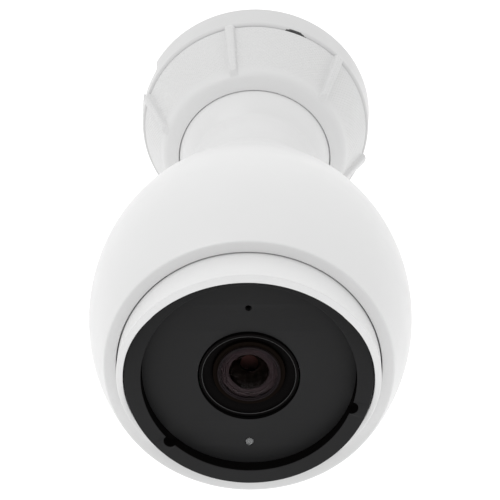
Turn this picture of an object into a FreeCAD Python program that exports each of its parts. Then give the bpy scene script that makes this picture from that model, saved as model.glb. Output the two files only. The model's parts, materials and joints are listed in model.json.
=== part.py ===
import FreeCAD, Part
import math
import os

import Sketcher

# Wall-mounted bullet camera: an egg-shaped head whose neck ends in a ball, a ribbed
# locking ring round the ball, and a round wall base.
#
# Frame, in millimetres: the wall is the plane y = 0, the camera looks along -Y and +Z is up.
# Each piece is drawn with its own z axis pointing forwards, away from the wall, its x axis to the
# right as seen from the front and its y axis up. Its Placement stands it in that frame.

doc = FreeCAD.newDocument("wall_camera")
sheet = doc.addObject("Spreadsheet::Sheet", "Sizes")

# Stations called something_at are distances in front of the wall.
SIZES = [
    # Wall base
    ("base_rear_rad", 32.5), ("base_front_rad", 32.0), ("base_depth", 10.5), ("base_edge", 1.2),
    ("base_bore_rad", 20.6), ("floor_depth", 3.2), ("floor_hole_rad", 9.5),
    ("collar_bore_rad", 22.0), ("collar_rad", 25.2), ("collar_front", 22.5),
    ("seat_shelf", 11.0), ("hollow_in", 25.6), ("hollow_out", 30.6), ("hollow_depth", 7.6),
    ("hollow_rib", 1.6), ("bite", 0.3), ("screw_circle", 31.0), ("screw_hole_rad", 2.2),
    ("screw_sink_rad", 4.3), ("screw_sink_depth", 1.8), ("scoop_rad", 4.1), ("scoop_depth", 2.4),
    ("scoop_rise", 3.1), ("scoop_angle", 69.0), ("outlet_angle", 159.5), ("outlet_wide", 10.7),
    ("outlet_tall", 6.5),
    ("gasket_in", 30.7), ("gasket_out", 31.6), ("gasket_thick", 1.2),
    # Locking ring and what it presses
    ("ring_rear", 10.7), ("ring_rear_rad", 31.4), ("ring_shoulder_at", 28.4), ("ring_shoulder_rad", 25.1),
    ("ring_nose_at", 30.1), ("ring_nose_rad", 22.0), ("ring_front", 30.4), ("ring_bore_rad", 25.3),
    ("ring_step_at", 23.0), ("washer_bore_rad", 23.8), ("ring_lip_at", 27.9), ("ring_edge", 0.5),
    ("lip_edge", 0.15), ("rib_width", 2.6), ("rib_front_at", 27.7), ("rib_rise_rear", 1.4),
    ("rib_rise_front", 1.35), ("rib_root", 1.6), ("rib_foot", 0.6), ("rib_round", 0.8), ("rib_nose", 0.4),
    ("rib_first_angle", 42.7), ("rib_count", 6),
    ("washer_rear_at", 24.2), ("washer_front_at", 27.8), ("washer_rad", 23.7),
    ("seat_rear_at", 11.0), ("seat_front_at", 18.4), ("seat_rad", 21.92),
    # Gaps: a running fit, between pieces that don't move, and how far a cutter runs past what it cuts
    ("play", 0.06), ("gap", 0.05), ("over", 1.0),
    # Ball and neck
    ("ball_rad", 21.6), ("ball_at", 24.3), ("ball_tail", 12.0), ("neck_rad", 17.0), ("neck_bore_rad", 11.0),
    ("neck_fillet", 2.5), ("tail_bore_rad", 12.5), ("tail_bore_depth", 6.0),
    ("core_in", 14.0), ("core_out", 16.3), ("core_depth", 9.0),
    ("gland_rad", 12.44), ("gland_thick", 5.9), ("gland_hole_rad", 3.25), ("gland_lip_rad", 5.6),
    ("gland_lip_thick", 2.2), ("gland_flare", 0.6),
    # Egg-shaped shell
    ("wall", 2.4), ("neck_front_at", 44.5), ("shoulder_low_at", 58.0), ("shoulder_low_rad", 19.9),
    ("shoulder_high_at", 87.4), ("shoulder_high_rad", 33.17), ("belly_at", 117.0), ("belly_rad", 39.75),
    ("rim_at", 142.0), ("rim_edge", 0.35), ("rim_round", 0.36), ("rim_outer_rad", 34.7),
    ("mouth_rad", 31.7), ("mouth_depth", 2.6), ("mouth_taper", 1.5), ("neck_taper", 12.0),
    ("neck_sweep", 32.7), ("shoulder_sweep", 69.9), ("belly_sweep", 62.7),
    ("boss_width", 7.0), ("boss_in", 22.6), ("boss_rear_at", 112.0), ("boss_angle", 30.0), ("boss_count", 3),
    ("boss_hole_rad", 1.2), ("boss_hole_depth", 9.0), ("boss_circle_rad", 25.6),
    # White bezel with the brow
    ("bezel_rad", 31.45), ("bezel_in_rear", 30.9), ("bezel_in_mid", 30.3), ("bezel_in_front", 29.2),
    ("bezel_rear_at", 133.2),
    ("brow_at", 152.5), ("brow_level_up", 31.6), ("brow_bend_at", 147.9), ("brow_bend_up", 8.0),
    ("brow_mid_at", 151.1), ("brow_mid_up", 20.4), ("brow_low_at", 141.0),
    ("seal_at", 136.2), ("seal_width", 1.8), ("seal_depth", 0.5),
    # Black front plate and window
    ("plate_rad", 29.6), ("plate_edge_at", 146.5), ("plate_inner_at", 147.0), ("plate_rear_at", 133.05),
    ("plate_cup_rad", 28.3), ("pocket_rad", 25.6), ("ledge_rad", 23.4), ("ledge_at", 141.6),
    ("ledge_rear_at", 139.4), ("notch_rad", 1.6), ("notch_depth", 3.2), ("notch_angle", 102.3),
    ("window_rad", 25.5), ("window_at", 143.65), ("window_thick", 1.5), ("lens_drop", 0.9),
    ("lens_hole_rad", 12.2), ("mic_up", 17.7), ("mic_hole_rad", 0.75), ("sensor_up", -19.4),
    ("sensor_hole_rad", 1.05), ("cushion_in", 23.6), ("cushion_out", 25.3),
    # Lens
    ("hood_rad", 11.9), ("hood_lip_in", 11.5), ("hood_throat_rad", 8.75), ("hood_throat_at", 141.5),
    ("hood_rear_at", 137.4), ("hood_top_at", 146.0), ("hood_low_at", 144.1), ("hood_lip_tall", 0.4),
    ("barrel_head_rad", 8.65), ("barrel_head_at", 138.0), ("barrel_front_at", 141.4), ("barrel_rad", 6.0),
    ("barrel_rear_at", 124.4), ("barrel_bore_rad", 4.6), ("front_seat_rad", 7.3), ("front_seat_at", 139.8),
    ("stop_rad", 2.2), ("stop_front_at", 134.9), ("stop_rear_at", 134.25),
    ("front_lens_rad", 7.25), ("front_lens_edge_at", 141.3), ("front_lens_dome", 1.7),
    ("front_lens_hollow", 4.4), ("front_lens_hollow_depth", 1.0),
    ("retainer_in", 6.75), ("retainer_out", 8.3), ("retainer_thick", 0.6),
    ("middle_lens_at", 131.0), ("rear_lens_at", 126.2), ("inner_lens_rad", 4.55), ("inner_lens_thick", 3.2),
    ("middle_lens_dome", 1.1), ("rear_lens_dome", 0.9),
    # Chassis, boards and what they carry
    ("chassis_rad", 31.0), ("chassis_at", 130.0), ("chassis_thick", 3.0), ("chassis_hole_rad", 8.2),
    ("chassis_rim_in", 19.8), ("chassis_rim_out", 22.4), ("chassis_rim_tall", 3.2),
    ("chassis_screw_rad", 1.3), ("chassis_head_rad", 2.4), ("chassis_head_thick", 1.6),
    ("chassis_screw_depth", 6.0),
    ("emitter_board_out", 26.6), ("emitter_board_in", 12.6), ("emitter_board_thick", 1.2),
    ("emitter_circle", 19.2), ("emitter_side", 3.6), ("emitter_tall", 1.9), ("board_screw_rad", 1.1),
    ("board_head_rad", 1.9), ("board_head_thick", 1.1), ("board_screw_depth", 3.5),
    ("pipe_rad", 0.98), ("pipe_head_rad", 1.9), ("pipe_proud", 0.25), ("pipe_dome", 0.3),
    ("mic_side", 3.0), ("mic_tall", 1.0), ("boot_rad", 2.0),
    ("holder_wide", 32.0), ("holder_high", 16.0), ("holder_rear_at", 121.4), ("holder_slab_at", 128.4),
    ("holder_flange_rad", 13.0), ("holder_tube_rad", 8.0), ("holder_front_at", 133.0), ("slot_wide", 28.6),
    ("slot_high", 10.6), ("slot_deep", 2.9),
    ("frame_wide", 19.0), ("frame_high", 10.0), ("frame_thick", 1.2), ("frame_at", 122.75),
    ("filter_side", 7.5), ("filter_pitch", 9.2), ("pane_sink", 0.15), ("pane_gap", 0.02),
    ("sensor_board_wide", 30.0), ("sensor_board_high", 28.0), ("board_thick", 1.4), ("sensor_wide", 9.0),
    ("sensor_high", 7.2), ("sensor_thick", 1.0),
    ("main_board_rad", 28.0), ("main_board_at", 104.0), ("standoff_rad", 2.2), ("standoff_x", 18.5),
    ("standoff_y", 17.5), ("board_notch_gap", 0.8), ("chip_side", 14.0), ("chip_thick", 1.5),
    ("pad_thick", 1.0), ("sink_side", 20.0),
    ("sink_base", 2.4), ("sink_tall", 8.0), ("sink_fins", 5), ("sink_fin_thick", 1.3),
    ("jack_wide", 16.0), ("jack_high", 13.6), ("jack_long", 21.0), ("socket_wide", 11.8),
    ("socket_high", 7.2), ("socket_deep", 15.0), ("socket_up", -0.6), ("latch_high", 2.6), ("button_x", 15.5),
    ("button_side", 6.0), ("button_tall", 3.6), ("key_rad", 1.7), ("key_tall", 1.9), ("key_socket", 1.6),
    ("key_proud", 1.3),
]
VALUE = dict(SIZES)
for row, (alias, number) in enumerate(SIZES, start=1):
    sheet.set(f"A{row}", alias)
    sheet.set(f"B{row}", str(number))
    sheet.setAlias(f"B{row}", alias)
doc.recompute()

FORWARD = FreeCAD.Rotation(FreeCAD.Vector(1, 0, 0), 90)
pieces = []


def turn_about_z(degrees):
    return FreeCAD.Rotation(FreeCAD.Vector(0, 0, 1), degrees)


BOSS_TURN = turn_about_z(VALUE["boss_angle"])


def bind(item, prop, formula):
    """Tie a property to the sheet: words in the formula that are aliases are read from it."""
    item.setExpression(prop, sized(formula))


def sized(formula):
    """The formula with every alias written as a cell of the sheet."""
    text = str(formula)
    word = ""
    out = ""
    for sign in text + " ":
        if sign.isalnum() or sign == "_":
            word += sign
            continue
        out += f"Sizes.{word}" if word in VALUE else word
        out += sign
        word = ""
    return out.strip()


def number(formula):
    """The formula's value, by FreeCAD's own expression engine."""
    return float(sheet.evalExpression(sized(formula)))


def stand(item, node, at="0", turn=None):
    """Label a finished piece, turn it forwards and put its own origin at a distance from the wall."""
    item.Label = node
    rotation = FORWARD.multiply(turn) if turn else FORWARD
    item.Placement = FreeCAD.Placement(FreeCAD.Vector(0, -number(at), 0), rotation)
    bind(item, "Placement.Base.y", f"-({at})")
    pieces.append(item)
    return item


def origin_plane(body, role):
    return next(plane for plane in body.Origin.OriginFeatures if plane.Role == role)


def new_sketch(body, name, role="XY_Plane"):
    sketch = body.newObject("Sketcher::SketchObject", name)
    sketch.AttachmentSupport = [(origin_plane(body, role), "")]
    sketch.MapMode = "FlatFace"
    return sketch


def pin_point(sketch, edge, end, across, along):
    """Fix a point of the sketch at two distances from the sheet."""
    for kind, formula in (("DistanceX", across), ("DistanceY", along)):
        index = sketch.addConstraint(Sketcher.Constraint(kind, -1, 1, edge, end, number(formula)))
        bind(sketch, f"Constraints[{index}]", formula)


def bends_back(corner):
    """True when the edge leaving a corner is an arc that turns clockwise. A sketch keeps every arc
    counter-clockwise, so such an arc is stored from its far end."""
    return len(corner) == 3 and number(corner[2]) < 0


def outline(sketch, corners):
    """A closed outline. Each corner is (across, along), or (across, along, radius) when the edge that
    leaves it is an arc: a positive radius bulges to the right of the way walked, a negative to the left."""
    points = [FreeCAD.Vector(number(corner[0]), number(corner[1]), 0) for corner in corners]
    edges = []
    for place, corner in enumerate(corners):
        start = points[place]
        end = points[(place + 1) % len(points)]
        if len(corner) == 2:
            edges.append(sketch.addGeometry(Part.LineSegment(start, end), False))
            continue
        radius = number(corner[2])
        chord = end - start
        right = FreeCAD.Vector(chord.y, -chord.x, 0).normalize()
        half = chord.Length / 2
        rise = abs(radius) - math.sqrt(radius * radius - half * half)
        middle = (start + end) / 2 + right * math.copysign(rise, radius)
        first, last = (end, start) if bends_back(corner) else (start, end)
        edges.append(sketch.addGeometry(Part.Arc(first, middle, last), False))
    for place, corner in enumerate(corners):
        edge = edges[place]
        following = (place + 1) % len(corners)
        leaving = 1 if bends_back(corner) else 2
        entering = 2 if bends_back(corners[following]) else 1
        sketch.addConstraint(Sketcher.Constraint("Coincident", edge, leaving, edges[following], entering))
        pin_point(sketch, edge, 3 - leaving, corner[0], corner[1])
        if len(corner) == 3:
            size = sketch.addConstraint(Sketcher.Constraint("Radius", edge, abs(number(corner[2]))))
            bind(sketch, f"Constraints[{size}]", f"abs({corner[2]})")


def circle(sketch, radius, across="0", along="0"):
    at = FreeCAD.Vector(number(across), number(along), 0)
    edge = sketch.addGeometry(Part.Circle(at, FreeCAD.Vector(0, 0, 1), number(radius)), False)
    size = sketch.addConstraint(Sketcher.Constraint("Radius", edge, number(radius)))
    bind(sketch, f"Constraints[{size}]", radius)
    if across == "0" and along == "0":
        sketch.addConstraint(Sketcher.Constraint("Coincident", edge, 3, -1, 1))
    else:
        pin_point(sketch, edge, 3, across, along)


def rectangle(sketch, wide, high, across="0", along="0"):
    outline(sketch, [
        (f"({across}) - ({wide}) / 2", f"({along}) - ({high}) / 2"),
        (f"({across}) + ({wide}) / 2", f"({along}) - ({high}) / 2"),
        (f"({across}) + ({wide}) / 2", f"({along}) + ({high}) / 2"),
        (f"({across}) - ({wide}) / 2", f"({along}) + ({high}) / 2"),
    ])


def new_body(name):
    return doc.addObject("PartDesign::Body", f"{name}_body")


def turned(body, corners, name="profile"):
    """Revolve an outline of (radius, height) corners about the piece's own z axis."""
    sketch = new_sketch(body, name, "XZ_Plane")
    outline(sketch, corners)
    solid = body.newObject("PartDesign::Revolution", f"{name}_turn")
    solid.Profile = sketch
    solid.ReferenceAxis = (sketch, ["V_Axis"])
    solid.Angle = 360
    return solid


def padded(body, name, draw, length, start="0"):
    """Pad what draw() puts in a sketch, forwards from a height above the body's own origin."""
    sketch = new_sketch(body, name)
    draw(sketch)
    bind(sketch, "AttachmentOffset.Base.z", start)
    pad = body.newObject("PartDesign::Pad", f"{name}_pad")
    pad.Profile = sketch
    bind(pad, "Length", length)
    return pad


def pocketed(body, name, draw, depth, start="0", turn=0):
    """Cut what draw() puts in a sketch, from a height downwards, and check that it cut. The sketch may
    be turned about the piece's own z axis, in degrees."""
    before = volume_of(body)
    sketch = new_sketch(body, name)
    draw(sketch)
    sketch.AttachmentOffset = FreeCAD.Placement(FreeCAD.Vector(), turn_about_z(turn))
    bind(sketch, "AttachmentOffset.Base.z", start)
    pocket = body.newObject("PartDesign::Pocket", f"{name}_cut")
    pocket.Profile = sketch
    bind(pocket, "Length", depth)
    check_cut(body, before, name)
    return pocket


def volume_of(body):
    doc.recompute()
    return body.Shape.Volume


def check_cut(body, before, name):
    if volume_of(body) > before - 1e-3:
        raise RuntimeError(f"{body.Name}: {name} cuts nothing")


def around(body, feature, count, name):
    """Repeat a feature evenly about the piece's own z axis."""
    pattern = body.newObject("PartDesign::PolarPattern", name)
    pattern.Originals = [feature]
    axis = next(item for item in body.Origin.OriginFeatures if item.Role == "Z_Axis")
    pattern.Axis = (axis, [""])
    pattern.Angle = 360
    bind(pattern, "Occurrences", count)
    body.Tip = pattern
    return pattern


def ring_piece(node, inner, outer, thick, at):
    body = new_body(node)
    padded(body, "section", lambda sketch: (circle(sketch, outer), circle(sketch, inner)), thick)
    return stand(body, node, at)


def cylinder(name, radius, height, across="0", along="0", up="0"):
    """A plain cylinder in a piece's own frame, for booleans and groups."""
    solid = doc.addObject("Part::Cylinder", name)
    bind(solid, "Radius", radius)
    bind(solid, "Height", height)
    for prop, formula in (("x", across), ("y", along), ("z", up)):
        bind(solid, f"Placement.Base.{prop}", formula)
    return solid


def box(name, wide, high, deep, across="0", along="0", up="0"):
    """A box centred across x and y, standing on a height, in a piece's own frame."""
    solid = doc.addObject("Part::Box", name)
    bind(solid, "Length", wide)
    bind(solid, "Width", high)
    bind(solid, "Height", deep)
    bind(solid, "Placement.Base.x", f"({across}) - ({wide}) / 2")
    bind(solid, "Placement.Base.y", f"({along}) - ({high}) / 2")
    bind(solid, "Placement.Base.z", up)
    return solid


def fuse(name, items):
    joined = doc.addObject("Part::MultiFuse", name)
    joined.Shapes = items
    return joined


def cut(name, base, tool):
    result = doc.addObject("Part::Cut", name)
    result.Base = base
    result.Tool = tool
    return result


def group(name, items):
    """Several separate solids of one kind in one node."""
    whole = doc.addObject("Part::Compound", name)
    whole.Links = items
    return whole


def polar(radius, degrees):
    """The (across, along) formulas of a point at an angle from the right, counter-clockwise."""
    return f"({radius}) * cos({degrees})", f"({radius}) * sin({degrees})"


# --- Wall base -------------------------------------------------------------------------------------

def make_mount_base():
    body = new_body("mount_base")
    turned(body, [
        ("floor_hole_rad", "0"), ("hollow_in", "0"), ("hollow_in", "hollow_depth"),
        ("hollow_out", "hollow_depth"), ("hollow_out", "gasket_thick"), ("base_rear_rad", "gasket_thick"),
        ("base_front_rad", "base_depth - base_edge", "base_edge * 1.0001"),
        ("base_front_rad - base_edge", "base_depth"), ("collar_rad", "base_depth"),
        ("collar_rad", "collar_front"), ("collar_bore_rad", "collar_front"),
        ("collar_bore_rad", "seat_shelf"),
        ("base_bore_rad", "seat_shelf"), ("base_bore_rad", "floor_depth"), ("floor_hole_rad", "floor_depth"),
    ])
    web_middle = "(hollow_in + hollow_out) / 2"
    web_wide = "hollow_out - hollow_in + 2 * bite"
    web = padded(body, "web", lambda sketch: rectangle(sketch, web_wide, "hollow_rib", web_middle),
                 "hollow_depth - gasket_thick", "gasket_thick")
    around(body, web, "6", "webs")
    for name, radius, depth in (("screw_hole", "screw_hole_rad", "floor_depth"),
                                ("screw_sink", "screw_sink_rad", "screw_sink_depth")):
        hole = pocketed(body, name, lambda sketch: circle(sketch, radius, "0", "screw_circle / 2"),
                        depth, "floor_depth")
        around(body, hole, "3", f"{name}s")
    cut_side_outlet(body)
    # A shallow scoop in the front edge
    across, along = polar("base_front_rad - scoop_depth", "scoop_angle")
    scoop = cylinder("scoop", "scoop_rad", "scoop_depth + over", across, along, "base_depth + scoop_rise")
    outwards = turn_about_z(VALUE["scoop_angle"]).multVec(FreeCAD.Vector(1, 0, 0))
    scoop.Placement.Rotation = FreeCAD.Rotation(FreeCAD.Vector(0, 0, 1), outwards)
    stand(cut("mount_base_cut", body, scoop), "mount_base")


def cut_side_outlet(body):
    """Open the rim towards the wall, where a cable can enter from the side."""
    deep = "base_rear_rad - hollow_out + bite + over"
    middle = f"hollow_out - bite + ({deep}) / 2"
    pocketed(body, "side_outlet", lambda sketch: rectangle(sketch, deep, "outlet_wide", middle),
             "outlet_tall + over", "outlet_tall", VALUE["outlet_angle"])


def make_base_gasket():
    body = new_body("base_gasket")
    padded(body, "section", lambda sketch: (circle(sketch, "gasket_out"), circle(sketch, "gasket_in")),
           "gasket_thick")
    cut_side_outlet(body)
    stand(body, "base_gasket")


# --- Locking ring, washer and seat -----------------------------------------------------------------

def on_ball(at):
    """Radius of the ball's clearance sphere at a distance from the wall."""
    return f"sqrt((ball_rad + play)^2 - (({at}) - ball_at)^2)"


def make_locking_ring():
    body = new_body("locking_ring")
    nose = "ring_front - ring_rear"
    turned(body, [
        ("ring_bore_rad", "0"), ("ring_rear_rad - ring_edge", "0"), ("ring_rear_rad", "ring_edge"),
        ("ring_shoulder_rad", "ring_shoulder_at - ring_rear"), ("ring_nose_rad", "ring_nose_at - ring_rear"),
        (f"{on_ball('ring_front')} + lip_edge", nose),
        (on_ball("ring_front - lip_edge"), f"{nose} - lip_edge", "-(ball_rad + play)"),
        (on_ball("ring_lip_at"), "ring_lip_at - ring_rear"), ("washer_bore_rad", "ring_lip_at - ring_rear"),
        ("washer_bore_rad", "ring_step_at - ring_rear"), ("ring_bore_rad", "ring_step_at - ring_rear"),
    ])
    sketch = new_sketch(body, "rib_side", "XZ_Plane")
    front = "rib_front_at - ring_rear"
    outline(sketch, [
        ("ring_rear_rad - rib_root", "rib_foot"), ("ring_rear_rad + rib_rise_rear - ring_edge", "0"),
        ("ring_rear_rad + rib_rise_rear", "rib_round"), ("ring_shoulder_rad + rib_rise_front", front),
        ("ring_shoulder_rad - bite", f"{front} + rib_nose"),
        ("ring_shoulder_rad - bite", f"{front} - rib_nose"),
    ])
    rib = body.newObject("PartDesign::Pad", "rib")
    rib.Profile = sketch
    rib.Midplane = True
    bind(rib, "Length", "rib_width")
    doc.recompute()
    around(body, rib, "rib_count", "ribs")
    stand(body, "locking_ring", "ring_rear", turn_about_z(VALUE["rib_first_angle"]))


def make_clamp_washer():
    body = new_body("clamp_washer")
    top = "washer_front_at - washer_rear_at"
    turned(body, [
        ("washer_rad", "0"), ("washer_rad", top), (on_ball("washer_front_at"), top, "-(ball_rad + play)"),
        (on_ball("washer_rear_at"), "0"),
    ])
    stand(body, "clamp_washer", "washer_rear_at")


def make_ball_seat():
    body = new_body("ball_seat")
    top = "seat_front_at - seat_rear_at"
    turned(body, [
        (on_ball("seat_rear_at"), "0"), ("seat_rad", "0"), ("seat_rad", top),
        (on_ball("seat_front_at"), top, "-(ball_rad + play)"),
    ])
    stand(body, "ball_seat", "seat_rear_at")


# --- Head: shell with neck and ball ----------------------------------------------------------------

def make_outer_shell():
    body = new_body("outer_shell")
    touch = "(neck_rad + neck_fillet) / (ball_rad + neck_fillet)"
    fillet_mid = f"(ball_rad + neck_fillet) * sqrt(1 - ({touch})^2)"
    ball_touch = f"ball_rad * sqrt(1 - ({touch})^2)"
    tail = "ball_tail - ball_at"
    turned(body, [
        # Tail of the ball, with the counterbore for the gland
        ("tail_bore_rad", "0"), ("core_in", "0"), ("core_in", "core_depth"), ("core_out", "core_depth"),
        ("core_out", "0"), ("sqrt(ball_rad^2 - ball_tail^2)", "0", "ball_rad"),
        (f"ball_rad * {touch}", f"ball_tail + {ball_touch}", "-neck_fillet"),
        # Neck, shoulder, belly and rim
        ("neck_rad", f"ball_tail + {fillet_mid}"), ("neck_rad", f"neck_front_at + {tail}", "-neck_sweep"),
        ("shoulder_low_rad", f"shoulder_low_at + {tail}"),
        ("shoulder_high_rad", f"shoulder_high_at + {tail}", "shoulder_sweep"),
        ("belly_rad", f"belly_at + {tail}", "belly_sweep"),
        ("rim_outer_rad", f"rim_at - rim_edge + {tail}", "rim_round"),
        ("rim_outer_rad - rim_edge", f"rim_at + {tail}"), ("mouth_rad", f"rim_at + {tail}"),
        # Back down the inside
        ("mouth_rad", f"rim_at - mouth_depth + {tail}"),
        ("rim_outer_rad - wall", f"rim_at - mouth_depth - mouth_taper + {tail}", "-(belly_sweep - wall)"),
        ("belly_rad - wall", f"belly_at + {tail}", "-(shoulder_sweep - wall)"),
        ("shoulder_high_rad - wall", f"shoulder_high_at + {tail}"),
        ("shoulder_low_rad - wall", f"shoulder_low_at + {tail}"),
        ("neck_bore_rad", f"shoulder_low_at - neck_taper + {tail}"),
        ("neck_bore_rad", "tail_bore_depth"), ("tail_bore_rad", "tail_bore_depth"),
    ])
    # Posts inside the belly take the chassis screws.
    deep = "belly_rad - wall + bite - boss_in"
    middle = f"boss_in + ({deep}) / 2"
    boss = padded(body, "boss", lambda sketch: rectangle(sketch, "boss_width", deep, "0", middle),
                  "chassis_at - boss_rear_at", f"boss_rear_at + {tail}")
    around(body, boss, "boss_count", "bosses")
    hole = pocketed(body, "boss_hole", lambda sketch: circle(sketch, "boss_hole_rad", "0", "boss_circle_rad"),
                    "boss_hole_depth", f"chassis_at + {tail}")
    around(body, hole, "boss_count", "boss_holes")
    stand(body, "outer_shell", "ball_at - ball_tail", BOSS_TURN)


def make_neck_gland():
    body = new_body("neck_gland")
    turned(body, [
        ("gland_hole_rad", "0"), ("gland_lip_rad", "0"), ("gland_lip_rad + gland_flare", "gland_lip_thick"),
        ("gland_rad", "gland_lip_thick"), ("gland_rad", "gland_thick"), ("gland_hole_rad", "gland_thick"),
    ])
    stand(body, "neck_gland", "ball_at - ball_tail + gap")


# --- Head: white bezel and black front -------------------------------------------------------------

def make_front_bezel():
    body = new_body("front_bezel")
    top = "brow_at + over - bezel_rear_at"
    seal = "seal_at - bezel_rear_at"
    turned(body, [
        ("bezel_in_rear", "0"), ("bezel_rad", "0"), ("bezel_rad", f"{seal} - seal_width / 2"),
        ("bezel_rad - seal_depth", f"{seal} - seal_width / 2"),
        ("bezel_rad - seal_depth", f"{seal} + seal_width / 2"),
        ("bezel_rad", f"{seal} + seal_width / 2"), ("bezel_rad", top), ("bezel_in_front", top),
        ("bezel_in_mid", "rim_at - bezel_rear_at"), ("bezel_in_mid", f"{seal} + seal_width"),
        ("bezel_in_rear", f"{seal} + seal_width"),
    ])
    before = volume_of(body)
    # The front is cut to the brow's side view: level at the top, falling away below.
    sketch = new_sketch(body, "brow_side", "YZ_Plane")
    high = f"{top} + over"
    outline(sketch, [
        ("-(bezel_rad + over)", high), ("-(bezel_rad + over)", "brow_low_at - bezel_rear_at"),
        ("brow_bend_up", "brow_bend_at - bezel_rear_at"), ("brow_mid_up", "brow_mid_at - bezel_rear_at"),
        ("brow_level_up", "brow_at - bezel_rear_at"), ("bezel_rad + over", "brow_at - bezel_rear_at"),
        ("bezel_rad + over", high),
    ])
    cut_across(body, sketch, "brow", "2 * (bezel_rad + over)")
    check_cut(body, before, "brow")
    stand(body, "front_bezel", "bezel_rear_at")


def cut_across(body, sketch, name, wide):
    """Cut a side view right through a piece, half the width each way."""
    pocket = body.newObject("PartDesign::Pocket", f"{name}_cut")
    pocket.Profile = sketch
    pocket.Midplane = True
    bind(pocket, "Length", wide)


def make_bezel_seal():
    ring_piece("bezel_seal", "bezel_rad - seal_depth + gap / 2", "mouth_rad - gap / 2",
               "seal_width - 2 * gap", "seal_at - seal_width / 2 + gap")


def make_front_plate():
    body = new_body("front_plate")
    turned(body, [
        ("plate_cup_rad", "0"), ("plate_rad", "0"), ("plate_rad", "plate_edge_at - plate_rear_at"),
        ("pocket_rad", "plate_inner_at - plate_rear_at"), ("pocket_rad", "ledge_at - plate_rear_at"),
        ("ledge_rad", "ledge_at - plate_rear_at"), ("ledge_rad", "ledge_rear_at - plate_rear_at"),
        ("plate_cup_rad", "ledge_rear_at - plate_rear_at"),
    ])
    across, along = polar("pocket_rad", "notch_angle")
    notch = pocketed(body, "notch", lambda sketch: circle(sketch, "notch_rad", across, along),
                     "notch_depth", "plate_inner_at - plate_rear_at")
    around(body, notch, "3", "notches")
    stand(body, "front_plate", "plate_rear_at")


def make_ir_window():
    body = new_body("ir_window")
    padded(body, "disc", lambda sketch: (
        circle(sketch, "window_rad"), circle(sketch, "lens_hole_rad", "0", "-lens_drop"),
        circle(sketch, "mic_hole_rad", "0", "mic_up"), circle(sketch, "sensor_hole_rad", "0", "sensor_up"),
    ), "window_thick")
    stand(body, "ir_window", "window_at - window_thick")


def make_window_gasket():
    thick = "window_at - window_thick - ledge_at"
    ring_piece("window_gasket", "cushion_in", "cushion_out", thick, "ledge_at")


# --- Lens ------------------------------------------------------------------------------------------

def drop(item):
    """Move a lens piece down to the lens axis, which lies a little below the head's."""
    bind(item, "Placement.Base.z", "-lens_drop")
    return item


def make_lens_hood():
    body = new_body("lens_hood")
    high = "hood_top_at + over - hood_rear_at"
    turned(body, [
        ("hood_throat_rad", "0"), ("hood_rad", "0"), ("hood_rad", high), ("hood_lip_in", high),
        ("hood_lip_in", "hood_low_at - hood_lip_tall - hood_rear_at"),
        ("hood_throat_rad", "hood_throat_at - hood_rear_at"),
    ])
    before = volume_of(body)
    # The lip is cut on a slant, further forwards at the top.
    sketch = new_sketch(body, "lip_side", "YZ_Plane")
    outline(sketch, [
        ("-hood_rad - over", "hood_low_at - hood_rear_at"), ("hood_rad + over", "hood_top_at - hood_rear_at"),
        ("hood_rad + over", f"{high} + over"), ("-hood_rad - over", f"{high} + over"),
    ])
    cut_across(body, sketch, "lip", "2 * (hood_rad + over)")
    check_cut(body, before, "lip")
    drop(stand(body, "lens_hood", "hood_rear_at"))


def make_lens_barrel():
    body = new_body("lens_barrel")
    turned(body, [
        ("barrel_bore_rad", "0"), ("barrel_rad", "0"), ("barrel_rad", "barrel_head_at - barrel_rear_at"),
        ("barrel_head_rad", "barrel_head_at - barrel_rear_at"),
        ("barrel_head_rad", "barrel_front_at - barrel_rear_at"),
        ("front_seat_rad", "barrel_front_at - barrel_rear_at"),
        ("front_seat_rad", "front_seat_at - barrel_rear_at"),
        ("barrel_bore_rad", "front_seat_at - barrel_rear_at"),
        # The aperture stop, in front of the middle lens
        ("barrel_bore_rad", "stop_front_at - barrel_rear_at"), ("stop_rad", "stop_front_at - barrel_rear_at"),
        ("stop_rad", "stop_rear_at - barrel_rear_at"), ("barrel_bore_rad", "stop_rear_at - barrel_rear_at"),
    ])
    drop(stand(body, "lens_barrel", "barrel_rear_at"))


def dome_radius(half, rise):
    return f"(({half})^2 + ({rise})^2) / (2 * ({rise}))"


def make_front_lens():
    body = new_body("front_lens")
    edge = "front_lens_edge_at - front_seat_at"
    hollow = "front_lens_hollow"
    scooped = dome_radius(hollow, "front_lens_hollow_depth")
    turned(body, [
        ("0", "front_lens_hollow_depth", f"-({scooped})"), (hollow, "0"),
        ("front_lens_rad", "0"), ("front_lens_rad", edge),
        ("retainer_in", edge, dome_radius("retainer_in", "front_lens_dome")),
        ("0", f"{edge} + front_lens_dome"),
    ])
    drop(stand(body, "front_lens", "front_seat_at"))


def make_inner_lens(node, at, rise):
    """A biconvex element with a short cylindrical edge."""
    body = new_body(node)
    bulge = dome_radius("inner_lens_rad", rise)
    turned(body, [
        ("0", "0", bulge), ("inner_lens_rad", rise),
        ("inner_lens_rad", f"inner_lens_thick - {rise}", bulge), ("0", "inner_lens_thick"),
    ])
    drop(stand(body, node, at))


def make_lens_retainer():
    drop(ring_piece("lens_retainer", "retainer_in", "retainer_out", "retainer_thick", "barrel_front_at"))


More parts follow.
